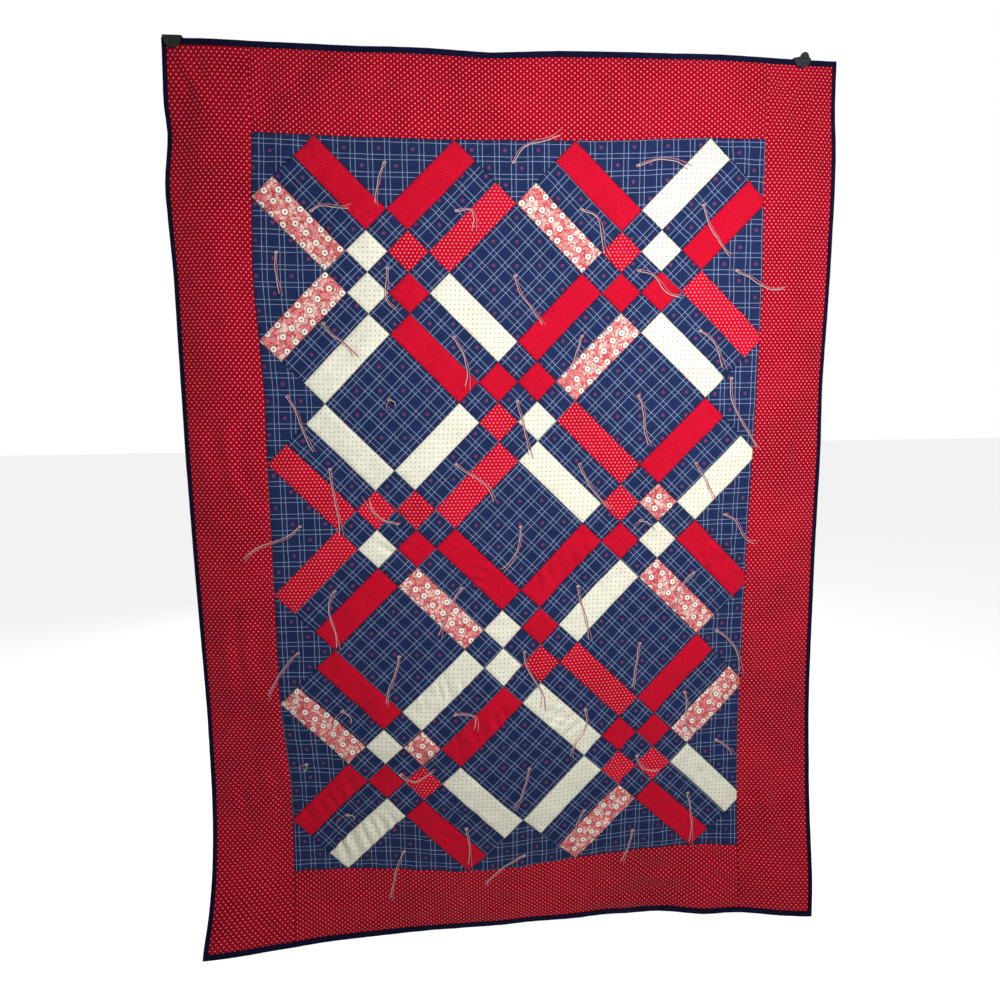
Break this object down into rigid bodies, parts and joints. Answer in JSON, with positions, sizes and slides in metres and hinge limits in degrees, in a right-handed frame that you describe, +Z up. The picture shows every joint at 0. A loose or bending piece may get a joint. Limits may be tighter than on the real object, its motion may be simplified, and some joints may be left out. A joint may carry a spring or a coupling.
{
  "type": "patchwork quilt with two hanging clips",
  "caption": "Tied patchwork quilt with an on-point pieced centre, dotted borders and a narrow binding, hung face on from spring clips at its top corners.",
  "frame": {"origin": "middle of the quilt's top edge, where it hangs", "axes": "+Z up along the hanging cloth, +X to the right seen from the front, the front faces -Y"},
  "size_m": [1.0882, 0.0984, 1.5121],
  "materials": {
    "patchwork": "matte woven cotton",
    "border_cotton": "matte woven cotton",
    "binding_cotton": "matte woven cotton",
    "tie_yarn": "matte twisted yarn",
    "clip_plastic": "satin"
  },
  "bodies": {
    "root": {"binding": "binding_cotton", "border_bottom": "border_cotton", "border_left": "border_cotton", "border_right": "border_cotton", "border_top": "border_cotton", "clip_left": "clip_plastic", "clip_right": "clip_plastic", "pieced_centre": "patchwork", "tie_c00_r02": "tie_yarn", "tie_c00_r04": "tie_yarn", "tie_c00_r06": "tie_yarn", "tie_c00_r08": "tie_yarn", "tie_c01_r01": "tie_yarn", "tie_c01_r03": "tie_yarn", "tie_c01_r05": "tie_yarn", "tie_c01_r07": "tie_yarn", "tie_c01_r09": "tie_yarn", "tie_c02_r00": "tie_yarn", "tie_c02_r02": "tie_yarn", "tie_c02_r06": "tie_yarn", "tie_c02_r08": "tie_yarn", "tie_c02_r10": "tie_yarn", "tie_c02_r12": "tie_yarn", "tie_c03_r01": "tie_yarn", "tie_c03_r03": "tie_yarn", "tie_c03_r05": "tie_yarn", "tie_c03_r07": "tie_yarn", "tie_c03_r09": "tie_yarn", "tie_c03_r11": "tie_yarn", "tie_c04_r00": "tie_yarn", "tie_c04_r02": "tie_yarn", "tie_c04_r04": "tie_yarn", "tie_c04_r06": "tie_yarn", "tie_c04_r08": "tie_yarn", "tie_c04_r10": "tie_yarn", "tie_c04_r12": "tie_yarn", "tie_c05_r01": "tie_yarn", "tie_c05_r03": "tie_yarn", "tie_c05_r05": "tie_yarn", "tie_c05_r07": "tie_yarn", "tie_c05_r09": "tie_yarn", "tie_c05_r11": "tie_yarn", "tie_c06_r00": "tie_yarn", "tie_c06_r02": "tie_yarn", "tie_c06_r04": "tie_yarn", "tie_c06_r06": "tie_yarn", "tie_c06_r08": "tie_yarn", "tie_c06_r10": "tie_yarn", "tie_c06_r12": "tie_yarn", "tie_c07_r01": "tie_yarn", "tie_c07_r03": "tie_yarn", "tie_c07_r05": "tie_yarn", "tie_c07_r07": "tie_yarn", "tie_c07_r09": "tie_yarn", "tie_c07_r11": "tie_yarn", "tie_c08_r02": "tie_yarn", "tie_c08_r04": "tie_yarn", "tie_c08_r06": "tie_yarn", "tie_c08_r08": "tie_yarn", "tie_c08_r10": "tie_yarn"}
  },
  "joints": []
}
